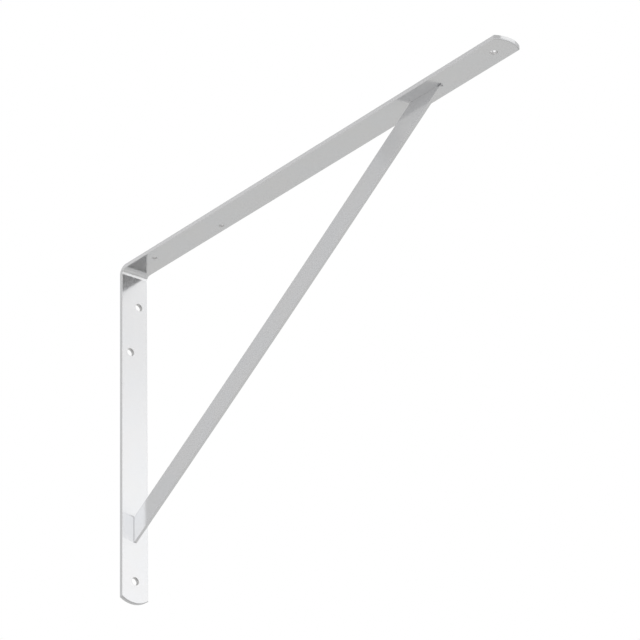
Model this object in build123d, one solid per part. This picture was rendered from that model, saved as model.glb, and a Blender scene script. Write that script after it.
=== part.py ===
from build123d import *
import math
import os

# Shelf bracket with a diagonal brace, in millimetres.
# A flat steel bar is bent square into a wall leg and a shelf arm, and a second
# flat bar stands on edge between them, cut to seat on both.
# The origin is the middle of the leg's wall face. +Z is up, the wall is on the
# +Y side, the arm reaches out along -Y, and X runs across the bars.

# Bent bar
bar_width = 30.0
bar_thickness = 4.0
bar_edge_round = 0.2
leg_height = 350.0
arm_length = 550.0
bend_inner_radius = 5.0
end_arc_radius = 27.0

# Screw holes in the leg, measured down from the shelf level and across from the middle
wall_hole_diameter = 8.0
upper_wall_hole_drop = 40.5
upper_wall_hole_side = 5.0
middle_wall_hole_drop = 91.5
middle_wall_hole_side = -5.0
lower_wall_hole_margin = 22.0

# Screw holes in the arm, measured out from the wall and across from the middle
shelf_hole_diameter = 5.0
inner_shelf_hole_reach = 43.0
inner_shelf_hole_side = -4.0
middle_shelf_hole_reach = 136.0
middle_shelf_hole_side = 7.5
tip_hole_diameter = 7.0
tip_hole_margin = 21.0

# Brace: a flat bar on edge, whose outer edge starts on the leg and ends under the arm,
# bowed a little away from the corner of the bracket
brace_width = 22.0
brace_thickness = 3.0
brace_edge_round = 0.2
brace_bow = 1.8
brace_foot_drop = 289.5
brace_head_reach = 463.5

# Weld beads along both seats of the brace, on its +X side, stopping short of its corners
weld_leg = 2.5
foot_weld_margin = 6.0
head_weld_margin = 10.0

# Levels and radii that follow from the sizes above
shelf_level = leg_height / 2
leg_foot = -leg_height / 2
arm_underside = shelf_level - bar_thickness
half_thickness = bar_thickness / 2
half_brace = brace_thickness / 2
bend_middle_radius = bend_inner_radius + half_thickness
end_arc_rise = end_arc_radius - math.sqrt(end_arc_radius**2 - (bar_width / 2) ** 2)

# Brace slope, and the lengths of its two slanted cuts
brace_rise = brace_foot_drop - bar_thickness
brace_run = brace_head_reach - bar_thickness
brace_slope = math.atan2(brace_rise, brace_run)
foot_cut_length = brace_width / math.cos(brace_slope)
head_cut_length = brace_width / math.sin(brace_slope)
brace_foot_level = shelf_level - brace_foot_drop


def cut_rounded_end(plane, reach):
    """Shears one end of the bar to a shallow arc, on a plane whose Y runs along the bar."""
    with BuildSketch(plane) as waste:
        with Locations((0, reach)):
            Rectangle(2 * bar_width, 2 * end_arc_rise)
        with Locations((0, reach - end_arc_radius)):
            Circle(end_arc_radius, mode=Mode.SUBTRACT)
    extrude(waste.sketch, amount=2 * bar_thickness, both=True, mode=Mode.SUBTRACT)


def punch_holes(plane, diameter, places):
    """Punches round holes through the bar, on a plane whose Y runs along the bar."""
    with BuildSketch(plane) as slugs:
        with Locations(*places):
            Circle(diameter / 2)
    extrude(slugs.sketch, amount=2 * bar_thickness, both=True, mode=Mode.SUBTRACT)


def make_bent_bar():
    """Carries the bar's section along the leg, round the bend and out along the arm."""
    leg_plane = Plane((0, 0, shelf_level), x_dir=(1, 0, 0), z_dir=(0, 1, 0))
    arm_plane = Plane((0, 0, shelf_level), x_dir=(1, 0, 0), z_dir=(0, 0, -1))
    with BuildPart() as bar:
        with BuildLine(Plane.YZ) as path:
            FilletPolyline(
                (-half_thickness, leg_foot),
                (-half_thickness, shelf_level - half_thickness),
                (-arm_length, shelf_level - half_thickness),
                radius=bend_middle_radius,
            )
        with BuildSketch(Plane((0, -half_thickness, leg_foot))):
            RectangleRounded(bar_width, bar_thickness, bar_edge_round)
        sweep(path=path.line)
        cut_rounded_end(leg_plane, leg_height)
        cut_rounded_end(arm_plane, arm_length)
        wall_holes = [
            (upper_wall_hole_side, upper_wall_hole_drop),
            (middle_wall_hole_side, middle_wall_hole_drop),
            (0, leg_height - lower_wall_hole_margin),
        ]
        punch_holes(leg_plane, wall_hole_diameter, wall_holes)
        shelf_holes = [
            (inner_shelf_hole_side, inner_shelf_hole_reach),
            (middle_shelf_hole_side, middle_shelf_hole_reach),
        ]
        punch_holes(arm_plane, shelf_hole_diameter, shelf_holes)
        punch_holes(arm_plane, tip_hole_diameter, [(0, arm_length - tip_hole_margin)])
    return bar.part


def lay_weld_bead(seat_plane, seat_length, end_margin):
    """Lays a quarter-round bead with round ends, on a plane whose X runs along the seat."""
    bead_length = seat_length - 2 * end_margin
    with BuildSketch(seat_plane) as bead:
        with Locations((seat_length / 2, 0)):
            SlotOverall(bead_length, 2 * weld_leg)
        with Locations((seat_length / 2, -weld_leg)):
            Rectangle(bead_length, 2 * weld_leg, mode=Mode.SUBTRACT)
    revolve(
        bead.sketch,
        axis=Axis(seat_plane.origin, seat_plane.x_dir),
        revolution_arc=90,
    )


def find_bowed_middle(start, end):
    """Finds where the middle of one long edge of the brace lies."""
    middle_y = (start[0] + end[0]) / 2 - brace_bow * math.sin(brace_slope)
    middle_z = (start[1] + end[1]) / 2 - brace_bow * math.cos(brace_slope)
    return (middle_y, middle_z)


def make_brace():
    """Cuts the brace square to the leg and the arm, rounds its edges and welds it on."""
    foot_outer = (-bar_thickness, brace_foot_level)
    foot_inner = (-bar_thickness, brace_foot_level + foot_cut_length)
    head_inner = (-brace_head_reach + head_cut_length, arm_underside)
    head_outer = (-brace_head_reach, arm_underside)
    with BuildPart() as brace:
        with BuildSketch(Plane.YZ):
            with BuildLine():
                Line(foot_outer, foot_inner)
                ThreePointArc(foot_inner, find_bowed_middle(foot_inner, head_inner), head_inner)
                Line(head_inner, head_outer)
                ThreePointArc(head_outer, find_bowed_middle(head_outer, foot_outer), foot_outer)
            make_face()
        extrude(amount=half_brace, both=True)
        fillet(brace.edges(), radius=brace_edge_round)
        foot_seat = Plane((half_brace, *foot_inner), x_dir=(0, 0, -1), z_dir=(0, -1, 0))
        head_seat = Plane((half_brace, *head_outer), x_dir=(0, 1, 0), z_dir=(0, 0, -1))
        lay_weld_bead(foot_seat, foot_cut_length, foot_weld_margin)
        lay_weld_bead(head_seat, head_cut_length, head_weld_margin)
    return brace.part


os.makedirs("parts", exist_ok=True)
parts = {"bent_bar": make_bent_bar(), "brace": make_brace()}
for name, solid in parts.items():
    export_step(solid, f"parts/{name}.step")
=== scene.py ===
import math

import bmesh
import bpy
import numpy as np
from mathutils import Matrix, Vector


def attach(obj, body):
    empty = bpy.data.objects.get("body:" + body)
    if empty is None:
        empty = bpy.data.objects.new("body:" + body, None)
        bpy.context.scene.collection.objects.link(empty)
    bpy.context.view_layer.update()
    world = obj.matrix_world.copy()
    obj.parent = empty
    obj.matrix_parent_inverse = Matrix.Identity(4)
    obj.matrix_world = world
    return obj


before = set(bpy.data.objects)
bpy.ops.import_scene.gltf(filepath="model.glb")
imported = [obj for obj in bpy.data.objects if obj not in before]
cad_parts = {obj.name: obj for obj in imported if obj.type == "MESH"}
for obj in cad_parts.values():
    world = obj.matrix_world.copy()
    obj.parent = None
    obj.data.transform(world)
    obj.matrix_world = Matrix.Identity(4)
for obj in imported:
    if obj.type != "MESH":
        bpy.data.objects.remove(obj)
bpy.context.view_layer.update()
mm = 0.001


class Value:
    # a socket used as a number: arithmetic on it adds Math nodes to its tree
    def __init__(self, shader, socket):
        self.shader, self.socket = shader, socket

    def math(self, operation, *values):
        return self.shader.node("Math", {"operation": operation}, dict(enumerate(values)))

    def __add__(self, other):
        return self.math("ADD", self, other)

    def __radd__(self, other):
        return self.math("ADD", other, self)

    def __sub__(self, other):
        return self.math("SUBTRACT", self, other)

    def __rsub__(self, other):
        return self.math("SUBTRACT", other, self)

    def __mul__(self, other):
        return self.math("MULTIPLY", self, other)

    def __rmul__(self, other):
        return self.math("MULTIPLY", other, self)


class Shader:
    # a node tree with one way to add a node: its type, its settings, then its sockets
    def __init__(self, owner):
        owner.use_nodes = True
        self.tree = owner.node_tree
        self.tree.nodes.clear()

    def node(self, kind, settings=None, sockets=None, out=0):
        made = self.tree.nodes.new("ShaderNode" + kind)
        for name, setting in (settings or {}).items():
            setattr(made, name, setting)
        for name, value in (sockets or {}).items():
            socket = made.inputs[name]
            if isinstance(value, Value):
                self.tree.links.new(value.socket, socket)
            else:
                socket.default_value = value
        return Value(self, made.outputs[out]) if len(made.outputs) else made

    def objectPlace(self):
        return self.node("TexCoord", out=3)

    def split(self, vector):
        parts = self.node("SeparateXYZ", sockets={0: vector}).socket.node
        return [Value(self, parts.outputs[i]) for i in range(3)]

    def join(self, x, y, z):
        return self.node("CombineXYZ", sockets={0: x, 1: y, 2: z})

    def distance(self, a, b):
        return self.node("VectorMath", {"operation": "LENGTH"}, {0: self.join(a, b, 0.0)}, out=1)

    def greatest(self, first, *others):
        for other in others:
            first = first.math("MAXIMUM", first, other)
        return first

    def between(self, value, low, high):
        # 0 below low, 1 above high, eased between them
        settings = {"interpolation_type": "SMOOTHSTEP"}
        return self.node("MapRange", settings, {0: value, 1: low, 2: high})

    def blend(self, share, a, b):
        # a where share is 0, b where it is 1
        return self.node("Mix", {"data_type": "FLOAT"}, {0: share, 2: a, 3: b})

    def blendColor(self, share, a, b):
        return self.node("Mix", {"data_type": "RGBA"}, {0: share, 6: a, 7: b}, out=2)

    def noise(self, vector, scale, detail=2.0, roughness=0.5):
        sockets = {"Vector": vector, "Scale": scale, "Detail": detail, "Roughness": roughness}
        return self.node("TexNoise", None, sockets)


def inMetres(lengths):
    return [length * mm for length in lengths]


# Blue-white passivated zinc: a bright layer under a milky one, with rolling marks along
# the bar. Noise scales are in cells to the metre, and heights in metres.
zincLook = {
    "color": (0.862, 0.868, 0.882, 1.0),
    "warmColor": (0.868, 0.868, 0.874, 1.0),
    "warmCloud": (0.35, 0.65),  # cloud values where the warm colour begins and is full
    "cloudScale": 28.0,
    "gloss": 0.15,  # roughness of the bright layer
    "glossDrift": 0.03,  # how far the roughness wanders
    "haze": 0.44,  # roughness of the milky layer
    "hazeShare": 0.22,
    "streakScale": 230.0,
    "grainStretch": 45.0,  # how much longer than wide the rolling marks are
    "grainScale": 900.0,
    "grainHeight": 0.35e-6,
    "waveScale": 32.0,
    "waveHeight": 3.0e-6,
}

# The levels of the bent bar's two inner faces, and where along z - y the leg turns into
# the arm, in mm.
barLook = {"legFace": -4.0, "armFace": 171.0, "corner": (170.0, 180.0)}

# Punched holes and sheared ends: a bright burnished band on the side the punch
# came from, and a dull broken band below it. Along each end runs a fine painted shade line.
cutLook = {
    "legHoles": [(5.0, 134.5, 4.0), (-5.0, 83.5, 4.0), (0.0, -153.0, 4.0)],  # x, z, radius in mm
    "armHoles": [(-4.0, -43.0, 2.5), (7.5, -136.0, 2.5), (0.0, -529.0, 3.5)],  # x, y, radius
    "holeReach": (0.03, 0.3),  # mm outside a hole's radius, over which its wall's look ends
    "holeColor": (0.72, 0.715, 0.71, 1.0),
    "holeBurnishFrom": 2.5,  # mm up from the inner face of the bar
    "holeBurnishShare": 0.75,  # how much of the hole's colour the burnished band takes off
    "legEndCenter": -148.0,  # mm along z
    "armEndCenter": -523.0,  # mm along y
    "endRadius": 27.0,
    "endReach": (0.25, 0.03),  # mm inside the end's radius, over which its wall's look begins
    "endColor": (0.70, 0.705, 0.715, 1.0),
    "endBurnishFrom": 1.1,
    "endBurnishShare": 0.7,
    "burnishBlur": 0.15,  # mm
    "burnishHeight": 3e-6,
    "raggedScale": 700.0,
    "raggedHeight": 0.9,  # mm, how far the edge of the band wanders in all
    "dragScale": 2600.0,
    "dragSquash": 0.08,
    "brokenRoughness": 0.5,
    "brokenScale": 2300.0,
    "brokenHeight": 12e-6,
    # a thin painted shade on the inner face along each end, standing in for the shading of a
    # rounded edge
    "rimShadeColor": (0.49, 0.49, 0.495, 1.0),
    "rimWidth": 0.8,  # mm, on the inner face
    "rimBlur": 0.1,
    "rimDepth": (0.1, 0.3),
    "rimShareOnArm": 0.45,
}

# The inside of the bend, where the zinc is a little stretched and duller.
bendLook = {
    "center": (-9.0, 166.0),  # y, z in mm
    "radius": 5.0,
    "turn": 1.0,  # mm past the centre, over which the dull zinc begins
    "skin": (0.2, 1.0),  # mm into the metal, over which it ends
    "dull": 0.16,
}

# The narrow rolled faces of the arm, a little brighter in colour than its flat ones.
edgeLook = {"color": (0.955, 0.955, 0.965, 1.0), "reach": (14.7, 14.9)}  # mm from the middle

# Painted shade at the brace's seats, where it meets the bar: a thin dark line along the foot, a
# spot by the outer corner at the head, and the edge face that meets the foot from above, as if
# in shadow. Further down from the head there is a faint painted shade, where the arm shades it.
seatShadeLook = {
    "color": (0.34, 0.34, 0.35, 1.0),
    "roughness": 0.5,
    "footLine": 0.4,  # mm from the seat
    "headLine": 1.4,
    "lineBlur": (0.6, 1.4),  # shares of a line's width, between which it fades
    "headSpot": (458.3, 462.6),  # mm out from the wall
    "spotBlur": (0.5, 0.4),
    "headShare": 0.75,
    "edgeLevel": -77.33,  # mm across the brace, its upper edge face at the foot
    "edgeBlur": (0.45, 0.1),
    "edgeReach": (8.0, 16.0),  # mm out from the wall, where the soot thins out
    "armShadeCenter": (394.0, 140.5),  # mm out from the wall, and z
    "armShadeReach": (6.0, 25.0),
    "armShadeShare": 0.11,
}


def zincPlate(name, along, cuts=None, bend=None, edges=None, paintedShade=None, extraDull=0.0):
    # along(shader, x, y, z) gives the coordinates along, across and through the bar
    material = bpy.data.materials.new(name)
    shader = Shader(material)
    place = shader.objectPlace()
    x, y, z = shader.split(place)
    s, across, through = along(shader, x, y, z)
    grainPlace = shader.join(s * (1.0 / zincLook["grainStretch"]), across, through)
    grain = shader.noise(grainPlace, zincLook["grainScale"], detail=3.0, roughness=0.6)
    streak = shader.noise(grainPlace, zincLook["streakScale"])
    cloud = shader.noise(place, zincLook["cloudScale"], detail=3.0, roughness=0.55)
    wave = shader.noise(place, zincLook["waveScale"], detail=1.0)
    drift = (streak + cloud - 1.0) * zincLook["glossDrift"]
    roughness = zincLook["gloss"] + extraDull + drift
    warmth = shader.between(cloud, *zincLook["warmCloud"])
    tint = shader.blendColor(warmth, zincLook["color"], zincLook["warmColor"])
    height = grain * zincLook["grainHeight"] + wave * zincLook["waveHeight"]
    if bend:
        roughness = roughness + bend(shader, y, z) * bendLook["dull"]
    if edges:
        tint = shader.blendColor(edges(shader, across, y, z), tint, edgeLook["color"])
    if cuts:
        holeWall, endWall, depth, rimShade = cuts(shader, x, y, z)
        cut = shader.greatest(holeWall, endWall)
        raggedHeight = cutLook["raggedHeight"] * mm
        ragged = shader.noise(place, cutLook["raggedScale"]) * raggedHeight - raggedHeight / 2
        holeEdge, endEdge = inMetres((cutLook["holeBurnishFrom"], cutLook["endBurnishFrom"]))
        edge = shader.blend(endWall, holeEdge, endEdge)
        blur = cutLook["burnishBlur"] * mm
        burnish = shader.between(depth + ragged, edge - blur, edge + blur)
        broken = cut * (1.0 - burnish)
        roughness = shader.blend(broken, roughness, cutLook["brokenRoughness"])
        endShare = endWall * (1.0 - cutLook["endBurnishShare"] * burnish)
        tint = shader.blendColor(endShare, tint, cutLook["endColor"])
        holeShare = holeWall * (1.0 - cutLook["holeBurnishShare"] * burnish)
        tint = shader.blendColor(holeShare, tint, cutLook["holeColor"])
        # painted shade along each end
        tint = shader.blendColor(rimShade, tint, cutLook["rimShadeColor"])
        pits = shader.noise(place, cutLook["brokenScale"], detail=3.0)
        dragPlace = shader.join(s, across, through * cutLook["dragSquash"])
        drag = shader.noise(dragPlace, cutLook["dragScale"])
        height = height + broken * pits * cutLook["brokenHeight"]
        height = height + cut * burnish * drag * cutLook["burnishHeight"]
    # painted shade from the brace's seats and from the arm above it, mixed into the colour
    if paintedShade:
        shadeShare = paintedShade(shader, y, z, across)
        roughness = shader.blend(shadeShare, roughness, seatShadeLook["roughness"])
        tint = shader.blendColor(shadeShare, tint, seatShadeLook["color"])
    normal = shader.node("Bump", None, {"Height": height, "Distance": 1.0, "Strength": 1.0})
    bright = shader.node("BsdfPrincipled", None, {
        "Base Color": tint, "Metallic": 1.0, "Roughness": roughness, "Normal": normal})
    milky = shader.node("BsdfPrincipled", None, {
        "Base Color": tint, "Metallic": 1.0, "Roughness": zincLook["haze"], "Normal": normal})
    layers = shader.node("MixShader", None, {0: zincLook["hazeShare"], 1: bright, 2: milky})
    shader.node("OutputMaterial", None, {"Surface": layers})
    return material


def armShare(shader, y, z):
    # 0 on the leg, 1 on the arm, eased round the bend
    return shader.between(z - y, *inMetres(barLook["corner"]))


def alongBentBar(shader, x, y, z):
    # the leg runs along z and the arm along -y, so z - y runs along both
    return z - y, x, shader.blend(armShare(shader, y, z), y, z)


def cutsOnBentBar(shader, x, y, z):
    # Holes: the distance to each axis against the hole's radius. Ends: the distance to the
    # centre of each arc against the arc's radius. Depth is measured from the inner face.
    holeWalls, endWalls, rimShades = [], [], []
    places = [(z, hole) for hole in cutLook["legHoles"]]
    places += [(y, hole) for hole in cutLook["armHoles"]]
    for run, (holeX, holeRun, radius) in places:
        reach = shader.distance(x - holeX * mm, run - holeRun * mm)
        near, far = ((radius + gap) * mm for gap in cutLook["holeReach"])
        holeWalls.append(1.0 - shader.between(reach, near, far))
    # painted shade: a thin dark line on the inner face along each end
    radius, blur = cutLook["endRadius"], cutLook["rimBlur"] * mm
    near, far = ((radius - gap) * mm for gap in cutLook["endReach"])
    inner = (radius - cutLook["rimWidth"]) * mm
    for run, center in ((z, cutLook["legEndCenter"]), (y, cutLook["armEndCenter"])):
        past = run.math("MINIMUM", run - center * mm, 0.0)
        reach = shader.distance(x, past)
        endWalls.append(shader.between(reach, near, far))
        rimShades.append(shader.between(reach, inner - blur, inner + blur))
    share = armShare(shader, y, z)
    depth = shader.blend(share, y - barLook["legFace"] * mm, z - barLook["armFace"] * mm)
    rimShade = shader.greatest(*rimShades)
    rimShade = rimShade * (1.0 - shader.between(depth, *inMetres(cutLook["rimDepth"])))
    rimShade = rimShade * shader.blend(share, 1.0, cutLook["rimShareOnArm"])
    return shader.greatest(*holeWalls), shader.greatest(*endWalls), depth, rimShade


def bendOnBentBar(shader, y, z):
    # 1 on the hollow side of the bend, 0 a millimetre into the metal
    centerY, centerZ = inMetres(bendLook["center"])
    pastY, pastZ = y - centerY, z - centerZ
    turn = bendLook["turn"] * mm
    turned = shader.between(pastY, 0.0, turn) * shader.between(pastZ, 0.0, turn)
    near, far = ((bendLook["radius"] + skin) * mm for skin in bendLook["skin"])
    return turned * (1.0 - shader.between(shader.distance(pastY, pastZ), near, far))


def edgesOnArm(shader, across, y, z):
    # 1 on the arm's two narrow faces
    reach = across.math("ABSOLUTE", across)
    return shader.between(reach, *inMetres(edgeLook["reach"])) * armShare(shader, y, z)


braceRise, braceRun = 285.5, 459.5  # mm from one outer corner of the brace to the other
braceSlope = math.atan2(braceRise, braceRun)


def alongBrace(shader, x, y, z):
    run, rise = math.cos(braceSlope), math.sin(braceSlope)
    return z * rise - y * run, z * run + y * rise, x


# Painted shade on the brace: a dark line and a spot where it meets the bar, a darker edge face
# at the foot, and a faint patch below the arm
def paintedShadeOnBrace(shader, y, z, across):
    out = 0.0 - y  # how far out from the wall
    thin, thick = seatShadeLook["lineBlur"]
    footWidth, headWidth = inMetres((seatShadeLook["footLine"], seatShadeLook["headLine"]))
    footGap, headGap = out + barLook["legFace"] * mm, barLook["armFace"] * mm - z
    foot = 1.0 - shader.between(footGap, thin * footWidth, thick * footWidth)
    head = 1.0 - shader.between(headGap, thin * headWidth, thick * headWidth)
    inner, outer = inMetres(seatShadeLook["headSpot"])
    innerBlur, outerBlur = inMetres(seatShadeLook["spotBlur"])
    head = head * shader.between(out, inner - innerBlur, inner + innerBlur)
    head = head * (1.0 - shader.between(out, outer - outerBlur, outer + outerBlur))
    head = head * seatShadeLook["headShare"]
    low, high = ((seatShadeLook["edgeLevel"] - blur) * mm for blur in seatShadeLook["edgeBlur"])
    edge = shader.between(across, low, high)
    edge = edge * (1.0 - shader.between(out, *inMetres(seatShadeLook["edgeReach"])))
    # a faint painted shade below the head, where the arm shades the brace
    armShadeOut, armShadeLevel = inMetres(seatShadeLook["armShadeCenter"])
    reach = shader.distance(out - armShadeOut, z - armShadeLevel)
    armShade = 1.0 - shader.between(reach, *inMetres(seatShadeLook["armShadeReach"]))
    return shader.greatest(foot, head, edge, armShade * seatShadeLook["armShadeShare"])


def dress(node, material):
    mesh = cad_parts[node].data
    mesh.materials.clear()
    mesh.materials.append(material)


dress("bent_bar", zincPlate(
    "zincPlateOnBar", alongBentBar, cuts=cutsOnBentBar, bend=bendOnBentBar, edges=edgesOnArm))
dress("brace", zincPlate("zincPlateOnBrace", alongBrace, paintedShade=paintedShadeOnBrace))
print("zinc plate on the bent bar and the brace")


weldLook = {
    "radius": 2.62,  # mm, just over the solid bead
    "arc": (-5.0, 95.0),  # degrees that the profile spans
    "backAngle": 225.0,  # degrees and mm, where the profile closes behind the seat's corner
    "backRadius": 0.3,
    "rippleHeight": 0.22,
    "ripplePitch": 1.7,
    "rippleLeast": 0.25,  # share of a ripple's height that is left beside the seat
    "bow": 0.9,  # how far each ripple's middle runs ahead
    "wander": ((0.12, 0.9), (0.08, 2.3)),  # reach in mm and rate of the ripples' unevenness
    "wanderStart": (0, 6.3),  # radians, drawn once for each of them
    "stations": 240,
    "turns": 28,
    "mergeDistance": 2e-7,  # metres
    "dull": 0.16,
    # start in mm, where the bead's full radius begins, then the directions along the seat
    # and out of it, length in mm, and seed
    "beads": {
        "weldFoot": ((1.5, -4.0, -106.0), (0, 0, 1), (0, -1, 0), 8.9, 3),
        "weldHead": ((1.5, -451.0, 171.0), (0, 1, 0), (0, 0, -1), 16.69, 5),
    },
}


def weldBead(name, material, start, direction, outward, length, seed):
    # A bead profile carried along the seat: at each station the radius is the bead's own,
    # rounded off at both ends, plus a scalloped ripple that bows forward in the middle.
    # The profile runs over the quarter circle and closes behind the seat's corner.
    stations = weldLook["stations"]
    reach = weldLook["radius"]
    random = np.random.default_rng(seed)
    u = np.linspace(-reach, length + reach, stations)[:, None]
    angle = np.radians(np.linspace(*weldLook["arc"], weldLook["turns"]))[None, :]
    beyond = np.clip(np.maximum(-u, u - length), 0.0, reach)
    body = np.sqrt(np.clip(reach**2 - beyond**2, 0.0, None))
    wander = sum(
        far * np.sin(u * rate + random.uniform(*weldLook["wanderStart"]))
        for far, rate in weldLook["wander"])
    phase = (u + wander - weldLook["bow"] * np.sin(2 * angle)) / weldLook["ripplePitch"]
    scallop = np.sqrt(np.clip(1.0 - (2.0 * (phase % 1.0) - 1.0) ** 2, 0.0, 1.0))
    swell = np.sin(2 * angle).clip(weldLook["rippleLeast"], 1.0)
    radius = body + weldLook["rippleHeight"] * scallop * (body / reach) * swell
    backRadius = np.full((stations, 1), weldLook["backRadius"]) * (body / reach)
    backAngle = np.full((stations, 1), np.radians(weldLook["backAngle"]))
    radii = np.concatenate([radius, backRadius], axis=1)
    angles = np.concatenate([np.broadcast_to(angle, radius.shape), backAngle], axis=1)
    side = np.array([1.0, 0.0, 0.0])
    points = (
        np.array(start) + u[..., None] * np.array(direction)
        + (radii * np.cos(angles))[..., None] * side
        + (radii * np.sin(angles))[..., None] * np.array(outward)
    ) * mm
    rows, columns = radii.shape
    i, j = np.meshgrid(np.arange(rows - 1), np.arange(columns), indexing="ij")
    k = (j + 1) % columns
    row, nextRow = i * columns, (i + 1) * columns
    quads = np.stack([row + j, row + k, nextRow + k, nextRow + j], axis=-1)
    mesh = bpy.data.meshes.new(name)
    mesh.from_pydata(points.reshape(-1, 3).tolist(), [], quads.reshape(-1, 4).tolist())
    shell = bmesh.new()
    shell.from_mesh(mesh)
    bmesh.ops.remove_doubles(shell, verts=shell.verts, dist=weldLook["mergeDistance"])
    bmesh.ops.recalc_face_normals(shell, faces=shell.faces)
    shell.to_mesh(mesh)
    shell.free()
    mesh.shade_smooth()
    mesh.materials.append(material)
    bead = bpy.data.objects.new(name, mesh)
    bpy.context.scene.collection.objects.link(bead)
    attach(bead, "root")


weldMetal = zincPlate("zincPlateOnWeld", alongBrace, extraDull=weldLook["dull"])
for name, settings in weldLook["beads"].items():
    weldBead(name, weldMetal, *settings)
print("weld beads on the brace's far side")


cameraLook = {
    "azimuth": -40.302,  # degrees
    "elevation": -25.357,
    "roll": -2.011,
    "location": (-1393.58, -1929.89, -1011.05),  # mm
    "nudge": (-0.4, 0.28),  # mm to the right and up
    "focalPixels": 2663.76,
    "imageWidth": 640,
    "sensorWidth": 36.0,  # mm
    "clip": (0.05, 100.0),  # metres
}


def setCamera():
    a, e, roll = (math.radians(cameraLook[k]) for k in ("azimuth", "elevation", "roll"))
    back = Vector((math.sin(a) * math.cos(e), -math.cos(a) * math.cos(e), math.sin(e)))
    level = Vector((math.cos(a), math.sin(a), 0.0))
    upright = back.cross(level)
    right = math.cos(roll) * level + math.sin(roll) * upright
    up = math.cos(roll) * upright - math.sin(roll) * level
    data = bpy.data.cameras.new("photoCamera")
    data.sensor_width = cameraLook["sensorWidth"]
    data.lens = cameraLook["focalPixels"] * data.sensor_width / cameraLook["imageWidth"]
    data.clip_start, data.clip_end = cameraLook["clip"]
    camera = bpy.data.objects.new("photoCamera", data)
    bpy.context.scene.collection.objects.link(camera)
    turned = Matrix((right, up, back)).transposed().to_4x4()
    nudgeRight, nudgeUp = cameraLook["nudge"]
    place = Vector(cameraLook["location"]) + right * nudgeRight + up * nudgeUp
    turned.translation = place * mm
    camera.matrix_world = turned
    bpy.context.scene.camera = camera


setCamera()
print("camera at the photograph's angle")


studioLook = {
    "ambient": 0.9,  # what the world gives to dull surfaces
    "floorLevel": -2.9,  # metres
    "floorHalf": 40.0,
    "floorColor": (0.63, 0.63, 0.622),
    "floorMottle": (0.98, 1.02),  # shares of the colour between which the floor varies
    "floorMottleScale": 0.9,
    "floorRoughness": 0.85,
    # azimuth and elevation from the bracket in degrees, distance, width and height in
    # metres, brightness at the foot and at the head of the card
    "cards": {
        "cardBackLeft": (130, 25, 3.0, 3.0, 3.0, 0.59, 0.59),
        "cardBackLeftHigh": (132, 37.8, 2.8, 3.0, 0.9, 0.59, 0.46),
        "cardBack": (62, 21.5, 3.0, 5.2, 3.97, 0.6, 0.38),
        "cardRight": (-7.0, 25, 3.0, 2.18, 2.4, 0.6, 0.6),
        "cardFront": (-103, 25, 3.0, 1.5, 2.0, 0.5, 0.5),
        "cardLegGlow": (-54.4, 24.5, 6.0, 1.6, 0.63, 1.055, 0.78),
        "cardLegGlowLow": (-54.4, 16.75, 6.0, 1.6, 0.997, 1.055, 1.055),
        "cardFrontLow": (-54.4, -10.3, 3.2, 2.4, 0.74, 1.3, 1.3),
        "cardFrontRightLow": (-54.4, -26.4, 3.0, 1.4, 0.64, 0.0, 0.0),
        "cardBackLeftLow": (130, -31, 3.0, 2.8, 2.8, 0.47, 0.47),
    },
    # direction from the bracket, distance and width in metres, brightness
    "lamps": {
        "keyLamp": ((-0.62, -0.62, 0.48), 2.6, 2.0, 0.16),
        "topLamp": ((0.0, 0.0, 1.0), 3.2, 3.0, 0.1),
    },
}


def grid(name, corner, across, up):
    # a flat sheet: corner plus u times across plus v times up, on a 2 by 2 grid
    u, v = np.meshgrid([0.0, 1.0], [0.0, 1.0])
    points = np.array(corner) + u[..., None] * np.array(across) + v[..., None] * np.array(up)
    mesh = bpy.data.meshes.new(name)
    mesh.from_pydata(points.reshape(-1, 3).tolist(), [], [(0, 1, 3, 2)])
    sheet = bpy.data.objects.new(name, mesh)
    bpy.context.scene.collection.objects.link(sheet)
    return sheet


def addFloor():
    half = studioLook["floorHalf"]
    corner = (-half, -half, studioLook["floorLevel"])
    floor = grid("floor", corner, (2 * half, 0, 0), (0, 2 * half, 0))
    material = bpy.data.materials.new("paleFloor")
    shader = Shader(material)
    mottle = shader.noise(shader.objectPlace(), studioLook["floorMottleScale"], detail=4.0)
    low, high = (
        [c * share for c in studioLook["floorColor"]] + [1.0]
        for share in studioLook["floorMottle"])
    surface = shader.node("BsdfPrincipled", None, {
        "Base Color": shader.blendColor(mottle, low, high),
        "Roughness": studioLook["floorRoughness"]})
    shader.node("OutputMaterial", None, {"Surface": surface})
    floor.data.materials.append(material)


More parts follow.
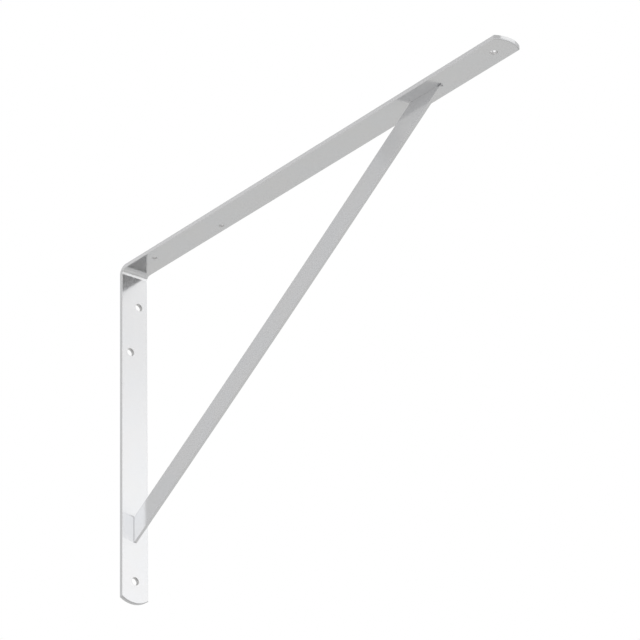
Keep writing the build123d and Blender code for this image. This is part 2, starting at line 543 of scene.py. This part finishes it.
def addCard(name, azimuth, elevation, distance, width, height, foot, head):
    # an upright sheet that glows toward the bracket, seen only in its reflections
    a, e = math.radians(azimuth), math.radians(elevation)
    toward = Vector((math.cos(a) * math.cos(e), math.sin(a) * math.cos(e), math.sin(e)))
    across = Vector((-math.sin(a), math.cos(a), 0.0))
    up = toward.cross(across)
    middle = toward * distance
    corner = middle - across * width / 2 - up * height / 2
    card = grid(name, corner, across * width, up * height)
    material = bpy.data.materials.new(name)
    shader = Shader(material)
    level = shader.split(shader.objectPlace())[2]
    half = up.z * height / 2
    rise = shader.between(level, middle.z - half, middle.z + half)
    glow = shader.blendColor(rise, (foot, foot, foot, 1.0), (head, head, head, 1.0))
    surface = shader.node("Emission", None, {"Color": glow, "Strength": 1.0})
    shader.node("OutputMaterial", None, {"Surface": surface})
    card.data.materials.append(material)
    card.visible_camera = card.visible_diffuse = card.visible_shadow = False


def addLamp(name, direction, distance, width, brightness):
    data = bpy.data.lights.new(name, "AREA")
    data.size = width
    data.energy = brightness * math.pi * width**2
    lamp = bpy.data.objects.new(name, data)
    bpy.context.scene.collection.objects.link(lamp)
    toward = Vector(direction).normalized()
    lamp.location = toward * distance
    lamp.rotation_euler = toward.to_track_quat("Z", "Y").to_euler()
    lamp.visible_camera = False


def setWorld():
    # white to the camera and to reflections, a little darker to dull surfaces
    world = bpy.data.worlds.new("studio")
    bpy.context.scene.world = world
    shader = Shader(world)
    path = shader.node("LightPath").socket.node
    kinds = ("Is Camera Ray", "Is Glossy Ray", "Is Transmission Ray")
    seen = shader.greatest(*(Value(shader, path.outputs[kind]) for kind in kinds))
    strength = shader.blend(seen, studioLook["ambient"], 1.0)
    sky = shader.node("Background", None, {"Color": (1, 1, 1, 1), "Strength": strength})
    shader.node("OutputWorld", None, {"Surface": sky})


addFloor()
for name, settings in studioLook["cards"].items():
    addCard(name, *settings)
for name, settings in studioLook["lamps"].items():
    addLamp(name, *settings)
setWorld()
bpy.context.scene.view_settings.view_transform = "Standard"
print("floor, cards, lamps and a white surround")
